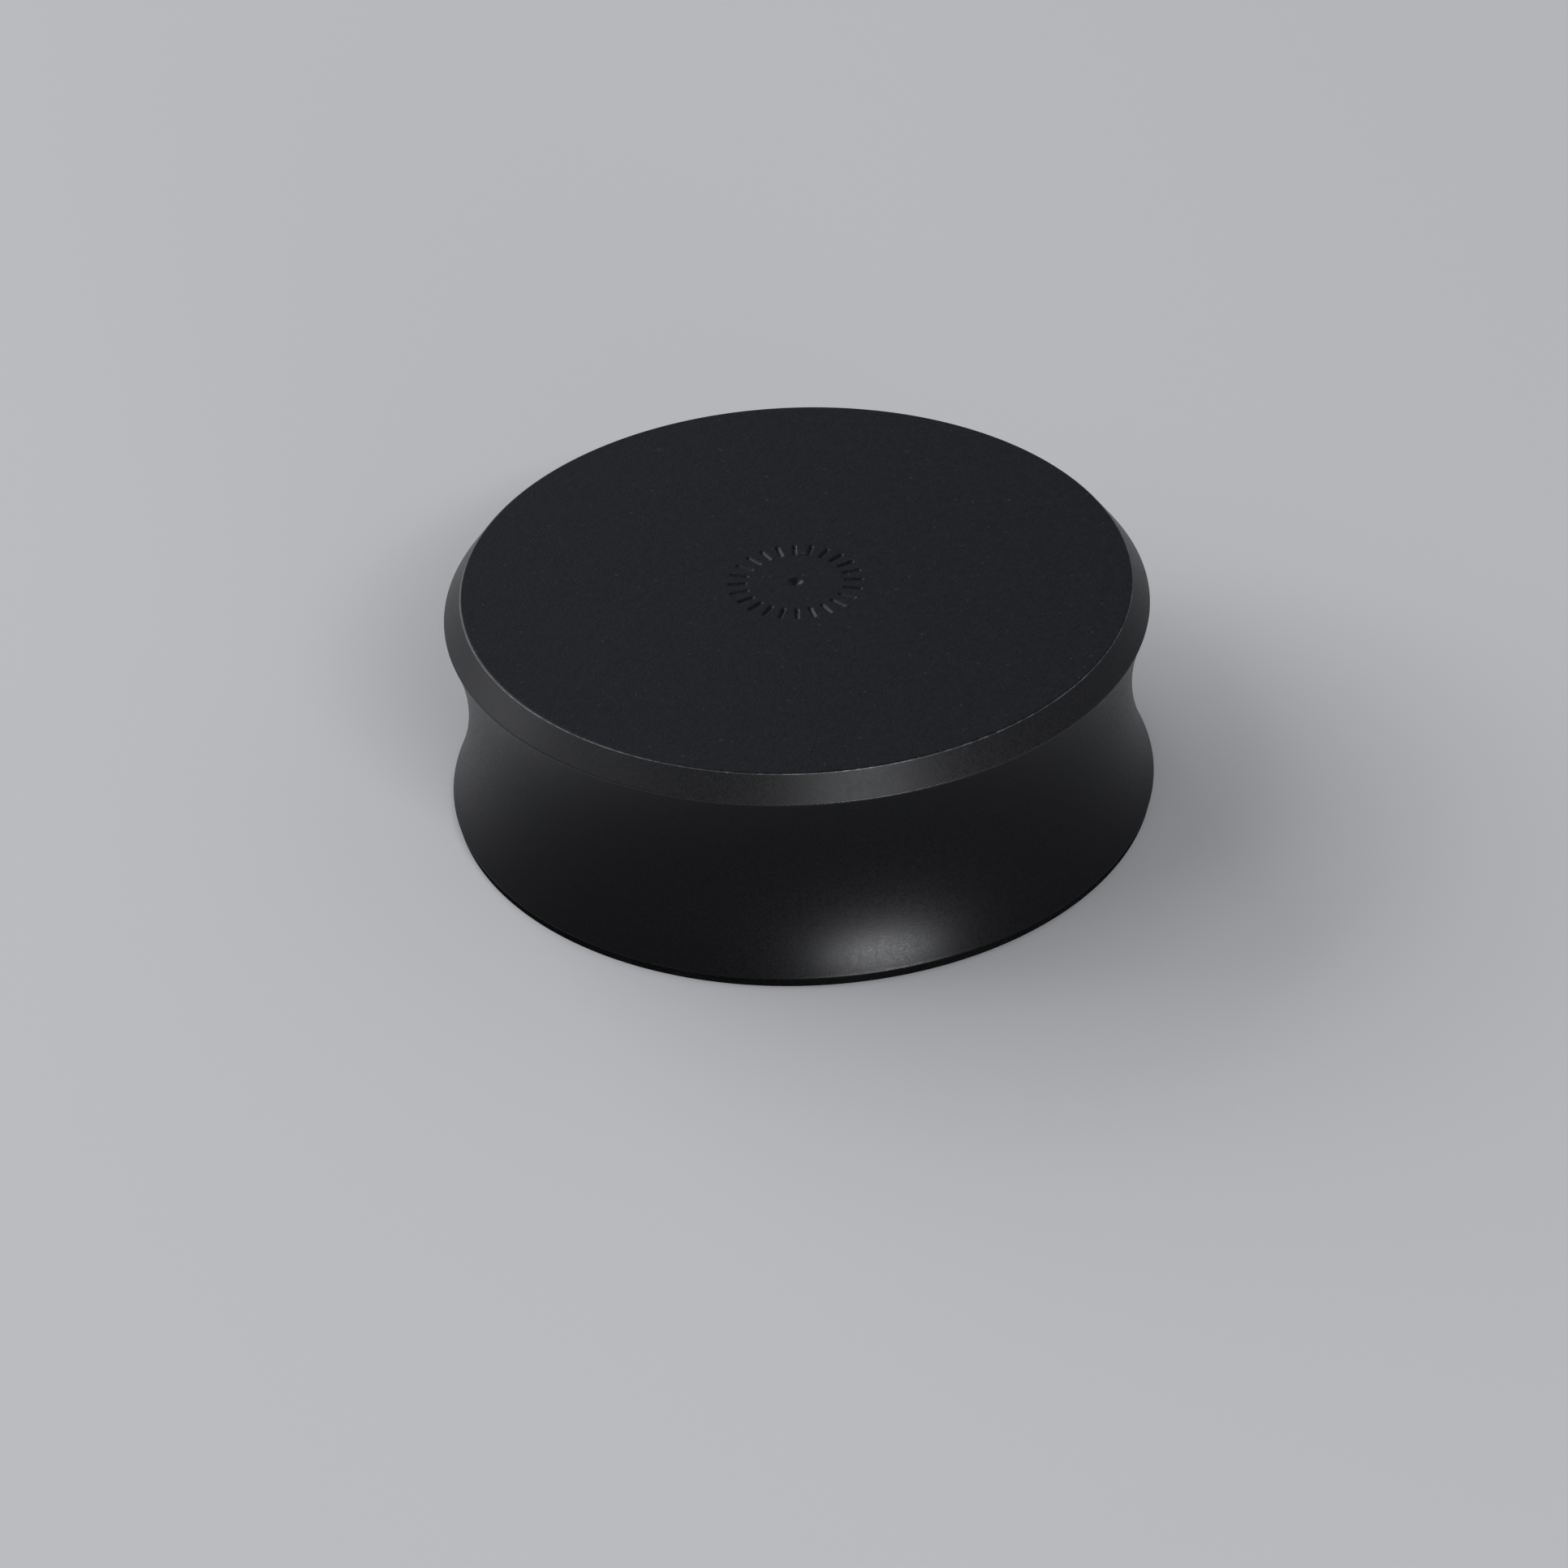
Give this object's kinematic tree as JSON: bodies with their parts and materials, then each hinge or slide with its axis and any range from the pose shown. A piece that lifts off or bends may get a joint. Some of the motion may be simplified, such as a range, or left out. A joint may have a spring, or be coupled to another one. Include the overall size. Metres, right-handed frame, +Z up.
{
  "type": "record weight",
  "caption": "Low turned weight with a flat top, a sloping rim band and a hollow waist, which drops over a turntable's spindle and presses a record flat.",
  "frame": {"origin": "on the spindle's axis at the pad's underside, where the weight stands on the record", "axes": "+Z up along the spindle's axis; the weight is round, so X and Y only place the centre mark"},
  "size_m": [0.077, 0.077, 0.0258],
  "materials": {
    "black_anodised": "black anodised, bead-blasted top, satin rim band and waist",
    "black_rubber": "matte"
  },
  "bodies": {
    "root": {"weight_body": "black_anodised", "base_pad": "black_rubber"}
  },
  "joints": []
}
